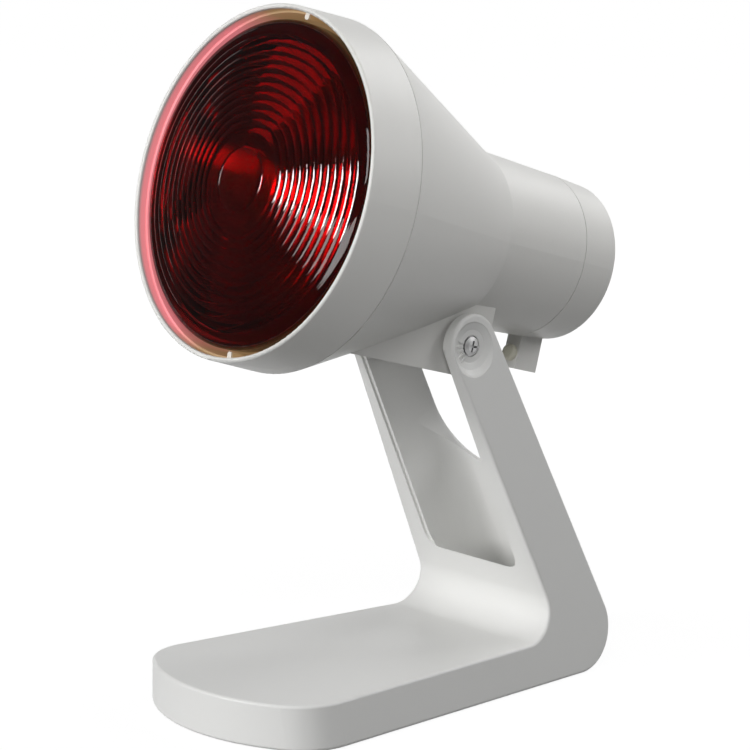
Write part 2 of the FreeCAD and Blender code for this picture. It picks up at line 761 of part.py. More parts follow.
def make_bulb_lens():
    """The pressed-glass front: a shallow dome with concentric ridges round a plain middle."""
    pitch = (lens_ridge_last - lens_ridge_first) / lens_ridge_count
    centre = V(0, lens_depth(0), 0)
    plain = lens_ridge_first / 2
    first = V(lens_ridge_first, lens_depth(lens_ridge_first), 0)
    edges = [Part.Arc(centre, V(plain, lens_depth(plain), 0), first).toShape()]
    points = [first]
    for i in range(lens_ridge_count):
        crest = lens_ridge_first + pitch * (i + 0.5)
        valley = lens_ridge_first + pitch * (i + 1)
        points += [V(crest, lens_depth(crest) - lens_ridge_height, 0), V(valley, lens_depth(valley), 0)]
    back = bulb_rim_front
    inner_edge = reflector_start_radius - reflector_wall
    points += [V(lens_edge_radius, lens_edge_depth, 0),
               V(bulb_rim_radius - lens_edge_round, lens_edge_depth + 1.6, 0), V(bulb_rim_radius, back, 0),
               V(inner_edge, back, 0)]
    inner_centre = V(0, lens_depth(0) + lens_thickness, 0)
    sag = dome_sag(inner_edge, back - inner_centre.y, inner_edge / 2)
    inner_middle = V(inner_edge / 2, inner_centre.y + sag, 0)
    inside = Part.Arc(points[-1], inner_middle, inner_centre).toShape()
    edges += Part.makePolygon(points).Edges + [inside]
    edges.append(Part.LineSegment(inner_centre, centre).toShape())
    return Part.Face(Part.Wire(Part.__sortEdges__(edges))).revolve(V(0, 0, 0), V(0, 1, 0), 360)


def bowl_radius(depth):
    """Radius of the reflector's outside, a paraboloid."""
    span = reflector_vertex_depth - reflector_start_depth
    return reflector_start_radius * math.sqrt((reflector_vertex_depth - depth) / span)


def bowl_arc(offset):
    """The bowl's round stretch from rim to neck, moved in by a wall: its first point, last point and edge."""
    span = reflector_vertex_depth - reflector_start_depth
    end = reflector_vertex_depth - (bulb_neck_radius / reflector_start_radius) ** 2 * span
    first, middle, last = [V(bowl_radius(depth) - offset, depth, 0)
                           for depth in (reflector_start_depth, (reflector_start_depth + 2 * end) / 3, end)]
    return first, last, Part.Arc(first, middle, last).toShape()


def make_bulb_reflector():
    rim_end = bulb_rim_front + bulb_rim_length
    outside_first, outside_last, outside = bowl_arc(0.0)
    inside_first, inside_last, inside = bowl_arc(reflector_wall)
    neck_in = bulb_neck_end_radius - reflector_wall
    front = [inside_first, V(inside_first.x, bulb_rim_front, 0), V(bulb_rim_radius, bulb_rim_front, 0),
             V(bulb_rim_radius, rim_end, 0), outside_first]
    tail = [outside_last, V(bulb_neck_end_radius, bulb_neck_end, 0), V(neck_in, bulb_neck_end, 0), inside_last]
    edges = Part.makePolygon(front).Edges + Part.makePolygon(tail).Edges + [outside, inside]
    return Part.Face(Part.Wire(Part.__sortEdges__(edges))).revolve(V(0, 0, 0), V(0, 1, 0), 360)


def make_bulb_screw_base():
    front = bulb_neck_end
    rear = screw_base_front + screw_base_length
    wall = 0.4
    outer = screw_base_radius
    return turned([(outer - 2.2, front), (outer, front), (outer, rear - 1.5), (outer - 2, rear),
                   (outer - 2 - wall, rear), (outer - wall, rear - 1.7), (outer - wall, front + wall),
                   (outer - 2.2, front + wall)])


def make_bulb_base_glass():
    front = screw_base_front + screw_base_length
    rear = front + base_glass_length
    return turned([(0, front), (screw_base_radius - 2.2, front), (base_contact_radius + 0.4, rear), (0, rear)])


def make_bulb_contact():
    front, rear = bulb_tip_depth - base_contact_height, bulb_tip_depth
    outer = base_contact_radius
    return turned([(0, front), (outer, front), (outer, rear - 1), (outer - 1, rear), (0, rear)])


def filament_depth():
    """The reflector's focus."""
    span = reflector_vertex_depth - reflector_start_depth
    return reflector_vertex_depth - reflector_start_radius ** 2 / span / 4


def make_bulb_filament():
    """A three-quarter ring of coiled wire across the focus, drawn with a square section."""
    depth = filament_depth()
    ring = tube(filament_radius + filament_wire, filament_radius - filament_wire, depth - filament_wire,
                depth + filament_wire)
    gap = box(-filament_radius * 0.7, filament_radius * 0.7, depth - 2, depth + 2, -2 * filament_radius, 0)
    return ring.cut(gap)


def make_filament_leads():
    """Two stiff wires from the filament's ends back into the neck, on a glass stem."""
    depth = filament_depth() + filament_wire
    x = filament_radius * 0.76
    z = -filament_radius * math.sqrt(1 - 0.76 ** 2)
    stem_front = bulb_neck_end - stem_length
    pieces = [rod(lead_wire, depth, stem_front + 1, side * x, z) for side in (1, -1)]
    stem = rod(bulb_neck_end_radius - reflector_wall - 0.05, stem_front, bulb_neck_end - 0.5)
    return joined([stem] + pieces)


# ---------------------------------------------------------------- lampholder and cap fittings
def make_lampholder_body():
    body = turned([(holder_bore, holder_front), (holder_radius - 2, holder_front, 1.0),
                   (holder_radius, holder_front + holder_shoulder), (holder_radius, holder_back),
                   (0, holder_back), (0, holder_floor), (holder_bore, holder_floor)])
    tools = []
    for side in (1, -1):
        tools.append(rod(small_screw_radius + screw_hole_gap, holder_back - small_screw_length,
                         holder_back + 1, 0, side * holder_screw_offset))
    return body.cut(tools)


def make_lampholder_thread():
    return tube(shell_outer, shell_inner, holder_front + thread_shell_front_gap,
                holder_floor - thread_shell_rear_gap)


def make_lampholder_contact():
    """A bent brass strip between the porcelain floor and the bulb's tip."""
    half = contact_strip_width / 2
    thick = contact_strip_thickness
    front, rear = bulb_tip_depth, holder_floor
    low, high = -holder_bore + 3, base_contact_radius
    knee = -contact_strip_rise
    points = [V(-half, rear, low), V(-half, rear, knee + thick), V(-half, front + thick, thick),
              V(-half, front + thick, high), V(-half, front, high), V(-half, front, 0),
              V(-half, rear - thick, knee), V(-half, rear - thick, low)]
    return Part.Face(Part.makePolygon(points + points[:1])).extrude(V(contact_strip_width, 0, 0))


def ear(radius, angle):
    """A radial arm of the lampholder's plate with a round end."""
    front, rear = holder_back, holder_back + plate_thickness
    arm = box(plate_bore + 2, radius, front, rear, -plate_ear_width / 2, plate_ear_width / 2)
    arm = arm.fuse(rod(plate_ear_width / 2, front, rear, radius))
    arm.rotate(V(0, 0, 0), V(0, 1, 0), -angle)
    return arm


def plate_screw_places():
    return [polar(bracket_boss_circle(), angle) for angle in bracket_boss_angles]


def make_holder_plate():
    front, rear = holder_back, holder_back + plate_thickness
    limit = rod(neck_outer(holder_back) - shell_wall - fit_gap * 3, front - 1, rear + 1)
    arms = [ear(bracket_boss_circle(), angle) for angle in bracket_boss_angles]
    arms += [ear(cap_post_offset, angle) for angle in (0, 180)]
    plate = rod(plate_hub_radius, front, rear).fuse(arms).common(limit)
    places = plate_screw_places() + [(cap_post_offset, 0), (-cap_post_offset, 0), (0, holder_screw_offset),
                                     (0, -holder_screw_offset)]
    tools = [rod(small_screw_radius + screw_hole_gap, front - 1, rear + 1, x, z) for x, z in places]
    return plate.cut(tools + [rod(plate_bore, front - 1, rear + 1)]).removeSplitter()


def pan_screw(head_front, length, x, z):
    """A small screw along the head's axis: the shank runs forward from the underside of its head."""
    head = small_head_radius
    rear = head_front + small_head_height
    tip = head_front - length
    points = [(0, tip), (small_screw_radius, tip), (small_screw_radius, head_front), (head, head_front),
              (head, rear - small_head_chamfer), (head - small_head_chamfer, rear), (0, rear)]
    screw = turned(points)
    screw.translate(V(x, 0, z))
    return screw


def make_plate_screws():
    seat = holder_back + plate_thickness
    return group([pan_screw(seat, small_screw_length, x, z) for x, z in plate_screw_places()])


def make_holder_screws():
    seat = holder_back + plate_thickness
    return group([pan_screw(seat, small_screw_length, 0, side * holder_screw_offset) for side in (1, -1)])


def make_terminals():
    """Two brass terminals behind the lampholder, each with its wire hole and clamping screw."""
    width, length, height = terminal_size
    terminals = []
    for side in (1, -1):
        x = side * terminal_offset
        block = box(x - width / 2, x + width / 2, holder_back, holder_back + length, -height / 2, height / 2)
        wire_hole = rod(1.3, holder_back + 2, holder_back + length + 1, x, -height * 0.15)
        screw = Part.makeCylinder(1.6, 2.0, V(x, holder_back + length * 0.6, height / 2))
        terminals.append(block.cut(wire_hole).fuse(screw))
    return group(terminals)


def make_cap_screws():
    seat = cap_end_depth - cap_well_depth
    length = seat - holder_back + 1.0
    return group([pan_screw(seat, length, side * cap_post_offset, 0) for side in (1, -1)])


def clamp_rear():
    return cap_end_depth - shell_wall - clamp_boss_length


def make_cord_clamp():
    rear = clamp_rear()
    front = rear - clamp_thickness
    reach = clamp_screw_offset + clamp_width / 2
    bar = box(-reach, reach, front, rear, -clamp_drop - clamp_width / 2, -clamp_drop + clamp_width / 2)
    corners = [e for e in bar.Edges if e.BoundBox.YLength > 1]
    bar = bar.makeFillet(clamp_width * 0.4, corners)
    hole = small_screw_radius + screw_hole_gap
    tools = [rod(hole, front - 1, rear + 1, side * clamp_screw_offset, -clamp_drop) for side in (1, -1)]
    return bar.cut(tools)


def make_cord_clamp_screws():
    """Screws whose heads face the lampholder and whose shanks enter the cap's bosses."""
    seat = clamp_rear() - clamp_thickness
    length = clamp_thickness + clamp_boss_length - 1.0
    front = seat - small_head_height
    head = small_head_radius
    screws = []
    for side in (1, -1):
        points = [(0, front), (head - small_head_chamfer, front), (head, front + small_head_chamfer),
                  (head, seat), (small_screw_radius, seat), (small_screw_radius, seat + length),
                  (0, seat + length)]
        screw = turned(points)
        screw.translate(V(side * clamp_screw_offset, 0, -clamp_drop))
        screws.append(screw)
    return group(screws)


# ---------------------------------------------------------------- hinge hardware
def washer_at_pivot(outer, inner, start, end):
    return cross_rod(outer, start, end).cut(cross_rod(inner, start - 1, end + 1))


def both_sides(shape, place):
    """The right-hand piece and its mirror image, moved to the pivot."""
    pair = [shape, mirrored(shape)]
    for piece in pair:
        piece.translate(place)
    return group(pair)


HEAD_PIVOT = V(0, pivot_depth, -pivot_drop)


def well_floor():
    """X of the floor of the screw's well in the right prong."""
    return eye_face() - screw_well_depth


def screw_seat():
    return well_floor() + face_gap + spring_washer_thickness


def make_pivot_inserts():
    start, end = insert_span()
    bore = pivot_screw_radius + insert_press
    insert = washer_at_pivot(insert_radius - insert_press, bore, start + face_gap, end)
    return both_sides(insert, HEAD_PIVOT)


def make_pivot_screws():
    """Domed cross-head screws through the prongs into the block."""
    seat = screw_seat()
    start = insert_span()[0] + pivot_screw_tip_gap
    top = seat + pivot_screw_head_height
    screw = turned([(0, start), (pivot_screw_radius, start), (pivot_screw_radius, seat),
                    (pivot_screw_head_radius, seat), (pivot_screw_head_radius, (seat + top) / 2),
                    (pivot_screw_head_radius * 0.6, top), (0, top)])
    screw.rotate(V(0, 0, 0), V(0, 0, 1), -90)
    reach, half = pivot_screw_head_radius * 0.62, pivot_slot_width / 2
    floor = top - pivot_slot_depth
    cross = [box(floor, top + 1, -reach, reach, -half, half), box(floor, top + 1, -half, half, -reach, reach)]
    return both_sides(screw.cut(cross), HEAD_PIVOT)


def make_spring_washers():
    start = well_floor() + face_gap
    washer = washer_at_pivot(spring_washer_radius, pivot_screw_radius + running_gap, start, screw_seat())
    return both_sides(washer, HEAD_PIVOT)


def make_friction_washers():
    start, end = block_half_width + face_gap, fork_half_gap - face_gap
    washer = washer_at_pivot(friction_washer_radius, pivot_screw_radius + running_gap, start, end)
    return both_sides(washer, PIVOT)


# ---------------------------------------------------------------- build
stand_pieces = {
    "stand": make_stand,
    "base_cover": make_base_cover,
    "base_cover_screws": make_cover_screws,
    "rubber_feet": make_rubber_feet,
    "friction_washers": make_friction_washers,
}

head_pieces = {
    "front_ring": make_front_ring,
    "cone_housing": make_cone_housing,
    "rear_cap": make_rear_cap,
    "cord_bush": make_cord_bush,
    "cord_clamp": make_cord_clamp,
    "cord_clamp_screws": make_cord_clamp_screws,
    "cap_screws": make_cap_screws,
    "bulb_lens": make_bulb_lens,
    "bulb_reflector": make_bulb_reflector,
    "bulb_screw_base": make_bulb_screw_base,
    "bulb_base_glass": make_bulb_base_glass,
    "bulb_contact": make_bulb_contact,
    "bulb_filament": make_bulb_filament,
    "bulb_filament_leads": make_filament_leads,
    "lampholder_body": make_lampholder_body,
    "lampholder_thread": make_lampholder_thread,
    "lampholder_contact": make_lampholder_contact,
    "lampholder_terminals": make_terminals,
    "lampholder_plate": make_holder_plate,
    "lampholder_screws": make_holder_screws,
    "plate_screws": make_plate_screws,
    "pivot_inserts": make_pivot_inserts,
    "pivot_screws": make_pivot_screws,
    "spring_washers": make_spring_washers,
}


def main():
    os.makedirs("parts", exist_ok=True)
    for name, make in stand_pieces.items():
        make().exportStep(os.path.join("parts", name + ".step"))
    for name, make in head_pieces.items():
        set_in_head(make()).exportStep(os.path.join("parts", name + ".step"))
    print("pivot at", round(PIVOT.y, 3), round(PIVOT.z, 3))


main()
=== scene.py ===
"""Looks of the infrared heat lamp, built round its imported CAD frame. Metres, +Z up, the lamp faces -Y."""
import json
import math

import bmesh
import bpy
from mathutils import Matrix, Vector


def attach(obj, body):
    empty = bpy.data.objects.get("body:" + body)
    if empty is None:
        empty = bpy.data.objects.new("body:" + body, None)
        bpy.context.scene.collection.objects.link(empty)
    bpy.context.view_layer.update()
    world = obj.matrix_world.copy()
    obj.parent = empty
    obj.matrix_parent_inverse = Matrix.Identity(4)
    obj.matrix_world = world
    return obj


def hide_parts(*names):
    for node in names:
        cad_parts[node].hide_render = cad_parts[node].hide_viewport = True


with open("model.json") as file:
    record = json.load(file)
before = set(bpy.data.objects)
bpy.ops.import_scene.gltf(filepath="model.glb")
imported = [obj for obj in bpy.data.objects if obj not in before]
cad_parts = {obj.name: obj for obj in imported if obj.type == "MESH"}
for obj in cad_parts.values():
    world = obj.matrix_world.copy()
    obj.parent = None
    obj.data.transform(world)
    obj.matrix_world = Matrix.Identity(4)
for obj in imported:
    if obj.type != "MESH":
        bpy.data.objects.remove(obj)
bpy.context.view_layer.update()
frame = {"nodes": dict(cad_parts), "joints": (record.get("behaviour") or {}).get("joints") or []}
MM = 0.001

# ---------------------------------------------------------------- the head, millimetres and degrees
tilt = 15.1                     # the head's rest angle, front raised
pivot_depth = 101.1             # pivot behind the lip of the front ring
pivot_drop = 41.25              # pivot below the head's axis
ring_bore = 64.5                # radius inside the front ring

# ---------------------------------------------------------------- the bulb's lens, millimetres
lens_edge_radius = 59.0
lens_edge_depth = 1.85          # behind the lip of the front ring
lens_rise = 6.0
lens_thickness = 4.0
lens_disc_radius = 12.0         # plain disc in the middle, with a groove round it
lens_groove_half = 0.5
lens_groove_depth = 0.15
lens_band_start = 1.2           # plain band from this far outside the disc to the first ridge
lens_ridge_first = 18.9
lens_ridge_last = 58.8
lens_ridge_count = 12
lens_ridge_height = 0.28
lens_inner_edge = 54.5          # radius of the glass's hollow rear side
bulb_rim_radius = 61.2
bulb_rim_front = 5.2            # depth of the rim's flat rear side
bulb_rim_rounding = ((-0.8, 0.9), (-0.2, 1.6), (0.0, 2.4))      # out from the rim, back from the lens's edge
band_points = 5
ridge_points = 10               # points of the profile across each ridge
inner_points = 12
lens_segments = 256
lens_smooth_angle = 30          # degrees

# ---------------------------------------------------------------- colours and surfaces
housing_colour = (0.80, 0.795, 0.77)
plastic_drift_scale = 18.0
plastic_grain_scales = (2600.0, 700.0)
plastic_grain_height = 0.00006
plastic_gloss_drift = 0.05
metal_scratch_scale = 900.0
metal_scratch_height = 0.00004
coat_colour = (0.86, 0.83, 0.78)
coat_end = 54.0                 # radius where the reflector's mirror coat ends, millimetres
coat_fade = 0.5
sealed_glass_colour = (0.05, 0.004, 0.004)
# Painted light on the front ring's bore: pink stands in for the red lens's reflection on the white wall, tan
# for warm shade
painted_glow_bore_fade = (0.5, 0.2)     # the painted glow on the ring's bore fades out this far outside the bore
painted_glow_start = 0.6                # depth behind the lip where the painted glow begins
painted_glow_full = 2.4
painted_glow_share = 0.85
painted_glow_emission = 0.5                # emission strength of the painted glow, added over the plastic's own colour
painted_glow_pink = (0.95, 0.27, 0.30)
painted_shade_tan = (0.36, 0.22, 0.09)
painted_pink_end = -32.0           # across the head, the painted glow turns from pink painted reflection to tan painted shade between these two
painted_tan_start = -12.0

# ---------------------------------------------------------------- camera, fitted to the photograph
camera_place = Vector((0.77358, -0.68614, 0.31561))
camera_back = Vector((0.73954, -0.64782, 0.18277))
camera_roll = 0.57              # degrees
camera_lens = 131.144
camera_sensor = 36.0
camera_reach = 50.0

# ---------------------------------------------------------------- studio, metres and watts
lights_aim = Vector((0.0, -0.03, 0.17))
softboxes = (                   # name, place, width and height, power, what shows it
    ("key", (-0.42, -1.35, 0.60), (0.32, 0.34), 9.5, "all"),
    ("front", (0.15, -1.5, 0.25), (1.0, 0.45), 7.2, "all"),
    ("over_camera", (0.9, -0.9, 1.1), (0.7, 0.7), 8.2, "not in glass"),
    ("back", (0.1, 1.1, 1.1), (1.0, 0.8), 9.0, "all"),
    ("side", (1.1, 1.0, 0.75), (0.7, 0.6), 4.5, "all"),
    ("glass_left", (-1.05, -0.80, 1.00), (0.5, 0.5), 3.3, "only in glass"),
    ("glass_right", (0.77, -1.06, 1.02), (0.5, 0.5), 0.6, "only in glass"),
    ("glass_key", (-0.42, -1.35, 0.60), (0.26, 0.3), 5.0, "only in glass"),
    ("glass_haze", (-1.15, -0.75, 0.30), (0.5, 0.4), 0.2, "only in glass"),
)
world_fill = 0.0                # the world is seen, but it lights nothing
floor_size = 12.0
floor_grey = 0.12
floor_glow_near = 0.93          # the floor's own white, up to the first distance and beyond the second
floor_glow_far = 1.0
floor_glow_span = (0.15, 0.6)
flag_distance = 2.6
flag_edge = 0.3                 # the half dome reaches this far behind the lamp's middle
flag_glow = 0.07
card_height = 0.001
card_edge = -0.13


# ---------------------------------------------------------------- geometry helpers
def head_matrix():
    """From the head's own axes, depth along Y and height along Z, to the lamp's frame."""
    joint = next(j for j in frame["joints"] if j["name"] == "head_tilt")
    return (Matrix.Translation(Vector(joint["pos_m"])) @ Matrix.Rotation(math.radians(-tilt), 4, "X")
            @ Matrix.Translation(Vector((0, -pivot_depth, pivot_drop)) * MM))


def finished(mesh_data, name, material, body, matrix, smooth_angle):
    """Turns a bmesh into an object that rides on a body."""
    bmesh.ops.recalc_face_normals(mesh_data, faces=mesh_data.faces)
    bmesh.ops.transform(mesh_data, matrix=matrix, verts=mesh_data.verts)
    mesh = bpy.data.meshes.new(name)
    mesh_data.to_mesh(mesh)
    mesh_data.free()
    mesh.materials.append(material)
    mesh.polygons.foreach_set("use_smooth", [True] * len(mesh.polygons))
    mesh.set_sharp_from_angle(angle=math.radians(smooth_angle))
    piece = bpy.data.objects.new(name, mesh)
    bpy.context.scene.collection.objects.link(piece)
    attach(piece, body)
    return piece


def revolved(profile, segments):
    """A profile of (radius, depth) millimetres, from axis to axis, turned about the head's axis."""
    made = bmesh.new()
    turns = [2 * math.pi * i / segments for i in range(segments)]
    rings = []
    for radius, depth in profile:
        if radius == 0.0:
            rings.append([made.verts.new((0, depth * MM, 0))])
            continue
        rings.append([made.verts.new((radius * math.cos(turn) * MM, depth * MM, radius * math.sin(turn) * MM))
                      for turn in turns])
    for a, b in zip(rings, rings[1:]):
        for i in range(segments):
            j = (i + 1) % segments
            if len(a) == 1:
                made.faces.new((a[0], b[i], b[j]))
            elif len(b) == 1:
                made.faces.new((a[i], a[j], b[0]))
            else:
                made.faces.new((a[i], a[j], b[j], b[i]))
    return made


def dome_sag(edge, rise, radius):
    """Drop from the top of a spherical dome, at a radius, where the dome's edge and rise are given."""
    sphere = (edge ** 2 + rise ** 2) / (2 * rise)
    return sphere - math.sqrt(sphere ** 2 - radius ** 2)


def lens_depth(radius):
    """Depth of the lens's plain front."""
    return lens_edge_depth - lens_rise + dome_sag(lens_edge_radius, lens_rise, radius)


def ridge(share):
    """Height of a ridge, from 0 in its valleys to 1 on its crest, at a share of its width."""
    return 1 - (2 * share - 1) ** 2


# ---------------------------------------------------------------- node helpers
class Nodes:
    """A short way to build a node tree."""

    def __init__(self, tree, clear=True):
        self.tree = tree
        if clear:
            tree.nodes.clear()

    def add(self, kind, inputs=None, **settings):
        node = self.tree.nodes.new(kind)
        for key, value in settings.items():
            setattr(node, key, value)
        for key, value in (inputs or {}).items():
            socket = node.inputs[key]
            if hasattr(value, "is_output"):
                self.tree.links.new(value, socket)
            else:
                socket.default_value = value
        return node

    def calc(self, operation, first, second):
        return self.add("ShaderNodeMath", {0: first, 1: second}, operation=operation).outputs[0]

    def ramp(self, value, start, end, low=0.0, high=1.0, **settings):
        inputs = {"Value": value, "From Min": start, "From Max": end, "To Min": low, "To Max": high}
        return self.add("ShaderNodeMapRange", inputs, **settings).outputs[0]

    def blend(self, share, first, second):
        """A mix of two colours, each a fixed one of three numbers or another node's output."""
        mix = self.add("ShaderNodeMix", {0: share}, data_type="RGBA")
        for socket, colour in ((mix.inputs[6], first), (mix.inputs[7], second)):
            if hasattr(colour, "is_output"):
                self.tree.links.new(colour, socket)
            else:
                socket.default_value = colour + (1.0,)
        return mix.outputs[2]

    def noise(self, scale, detail):
        place = self.add("ShaderNodeTexCoord").outputs["Object"]
        inputs = {"Vector": place, "Scale": scale, "Detail": detail}
        return self.add("ShaderNodeTexNoise", inputs).outputs["Fac"]

    def bump(self, height, strength, distance):
        inputs = {"Height": height, "Strength": strength, "Distance": distance}
        return self.add("ShaderNodeBump", inputs).outputs[0]

    def surface(self, shader):
        self.add("ShaderNodeOutputMaterial", {"Surface": shader.outputs[0]})


def new_material(name):
    material = bpy.data.materials.new(name)
    material.use_nodes = True
    return material, Nodes(material.node_tree)


def head_coordinates(n):
    """Where a point is on the head: across it, behind the lip of the ring and out from the axis."""
    place = n.add("ShaderNodeTexCoord").outputs["Object"]
    lip = head_matrix().translation
    from_lip = n.add("ShaderNodeVectorMath", {0: place, 1: lip}, operation="SUBTRACT").outputs[0]
    axes = head_matrix().to_3x3().transposed()
    across, depth, up = [n.add("ShaderNodeVectorMath", {0: from_lip, 1: axes[i]},
                               operation="DOT_PRODUCT").outputs["Value"] for i in range(3)]
    square = n.calc("MULTIPLY", across, across)
    square = n.add("ShaderNodeMath", {0: up, 1: up, 2: square}, operation="MULTIPLY_ADD").outputs[0]
    return across, depth, n.add("ShaderNodeMath", {0: square}, operation="SQRT").outputs[0]


# ---------------------------------------------------------------- materials
def moulded_plastic(name, colour, roughness=0.42, grain=0.35, variation=0.03):
    """Satin moulded plastic: a fine spark-eroded grain and a faint drift of colour and gloss."""
    material, n = new_material(name)
    drift = n.noise(plastic_drift_scale, detail=3.0)
    darker = tuple(c * (1 - variation) for c in colour)
    lighter = tuple(min(1.0, c * (1 + variation * 0.5)) for c in colour)
    fine, coarse = plastic_grain_scales
    height = n.calc("ADD", n.noise(fine, detail=2.0), n.noise(coarse, detail=3.0))
    gloss = n.ramp(drift, 0.0, 1.0, roughness - plastic_gloss_drift, roughness + plastic_gloss_drift)
    n.surface(n.add("ShaderNodeBsdfPrincipled", {
        "Base Color": n.blend(drift, darker, lighter), "Roughness": gloss, "IOR": 1.5,
        "Normal": n.bump(height, grain, plastic_grain_height)}))
    return material


def metal(name, colour, roughness=0.3, scratch=0.4):
    """Machined or plated metal with fine scratches."""
    material, n = new_material(name)
    noise = n.noise(metal_scratch_scale, detail=4.0)
    n.surface(n.add("ShaderNodeBsdfPrincipled", {
        "Base Color": colour + (1.0,), "Metallic": 1.0,
        "Roughness": n.ramp(noise, 0.0, 1.0, roughness * 0.7, roughness * 1.3),
        "Normal": n.bump(noise, scratch, metal_scratch_height)}))
    return material


def glass(name, colour, roughness, clarity, wave_scale, wave_strength, wave_height):
    """Pressed or drawn glass with faint waves."""
    material, n = new_material(name)
    n.surface(n.add("ShaderNodeBsdfPrincipled", {
        "Base Color": colour + (1.0,), "Roughness": roughness, "Transmission Weight": clarity, "IOR": 1.5,
        "Normal": n.bump(n.noise(wave_scale, detail=2.0), wave_strength, wave_height)}))
    return material


def mirror_coat():
    """The bulb's aluminised bowl. The coat stops short of the rim, where glass is sealed to glass."""
    material, n = new_material("mirror_coat")
    radius = head_coordinates(n)[2]
    coated = n.ramp(radius, coat_end * MM, (coat_end - coat_fade) * MM)
    colour = n.blend(coated, sealed_glass_colour, coat_colour)
    waves = n.noise(scale=60.0, detail=2.0)
    n.surface(n.add("ShaderNodeBsdfPrincipled", {
        "Base Color": colour, "Metallic": coated, "Roughness": 0.12,
        "Normal": n.bump(waves, strength=0.2, distance=0.0004)}))
    return material


def ring_plastic_painted_glow(name, colour):
    """The housing's plastic, with painted light on the wall round the glass: a pink glow standing in for the
    red lens's reflection, turning to tan painted shade, in base colour and emission.
    """
    material = moulded_plastic(name, colour)
    n = Nodes(material.node_tree, clear=False)
    shader = next(node for node in material.node_tree.nodes if node.type == "BSDF_PRINCIPLED")
    white = shader.inputs["Base Color"].links[0].from_socket
    across, depth, radius = head_coordinates(n)
    outside, inside = painted_glow_bore_fade
    on_bore = n.ramp(radius, (ring_bore + outside) * MM, (ring_bore + inside) * MM)
    deep = n.ramp(depth, painted_glow_start * MM, painted_glow_full * MM, 0.0, painted_glow_share, interpolation_type="SMOOTHSTEP")
    share = n.calc("MULTIPLY", on_bore, deep)
    # painted glow colour: pink painted reflection on one side of the head, tan painted shade on the other
    painted_glow_tint = n.blend(n.ramp(across, painted_pink_end * MM, painted_tan_start * MM), painted_glow_pink, painted_shade_tan)
    # emission strength of the painted glow, so the wall glows though it is no lamp
    light = n.calc("MULTIPLY", share, painted_glow_emission)
    links = material.node_tree.links
    # the painted reflection and shade go into the base colour and also glow as emission
    links.new(n.blend(share, white, painted_glow_tint), shader.inputs["Base Color"])
    links.new(painted_glow_tint, shader.inputs["Emission Color"])
    links.new(light, shader.inputs["Emission Strength"])
    return material


# ---------------------------------------------------------------- the pieces
def dress_nodes():
    white = moulded_plastic("housing_white", housing_colour)
    stand_white = moulded_plastic("stand_white", (0.80, 0.80, 0.785))
    hidden_white = moulded_plastic("hidden_white", (0.72, 0.72, 0.70), roughness=0.55)
    cream = moulded_plastic("cream", (0.74, 0.72, 0.60), roughness=0.35, grain=0.1)
    steel = metal("steel", (0.42, 0.42, 0.43))
    dull_steel = metal("dull_steel", (0.36, 0.36, 0.36), roughness=0.5)
    zinc = metal("zinc_plate", (0.70, 0.71, 0.72), roughness=0.35)
    brass = metal("brass", (0.75, 0.56, 0.25))
    nickel = metal("nickel_wire", (0.55, 0.54, 0.52), roughness=0.25)
    rubber = moulded_plastic("dark_rubber", (0.05, 0.05, 0.05), roughness=0.75, grain=0.6)
    acetal = moulded_plastic("black_acetal", (0.03, 0.03, 0.03), roughness=0.4, grain=0.1)
    vitrite = moulded_plastic("black_vitrite", (0.012, 0.012, 0.016), roughness=0.1, grain=0.02)
    porcelain = moulded_plastic("porcelain", (0.85, 0.84, 0.80), roughness=0.15, grain=0.05)
    clear_glass = glass("clear_glass", (0.92, 0.93, 0.92), roughness=0.04, clarity=0.9,
                        wave_scale=220.0, wave_strength=0.15, wave_height=0.0001)
    finish = {
        "stand": stand_white, "base_cover": hidden_white, "base_cover_screws": zinc, "rubber_feet": rubber,
        "friction_washers": acetal, "front_ring": ring_plastic_painted_glow("ring_white_painted_glow", housing_colour),
        "cone_housing": white, "rear_cap": white, "cord_bush": cream, "cord_clamp": hidden_white,
        "cord_clamp_screws": zinc, "cap_screws": zinc, "bulb_reflector": mirror_coat(),
        "bulb_screw_base": brass, "bulb_base_glass": vitrite, "bulb_contact": brass, "bulb_filament": nickel,
        "bulb_filament_leads": clear_glass, "lampholder_body": porcelain, "lampholder_thread": brass,
        "lampholder_contact": brass, "lampholder_terminals": brass, "lampholder_plate": zinc,
        "lampholder_screws": zinc, "plate_screws": zinc, "pivot_inserts": brass, "pivot_screws": dull_steel,
        "spring_washers": steel,
    }
    for name, node in frame["nodes"].items():
        node.data.materials.clear()
        node.data.materials.append(finish.get(name, steel))


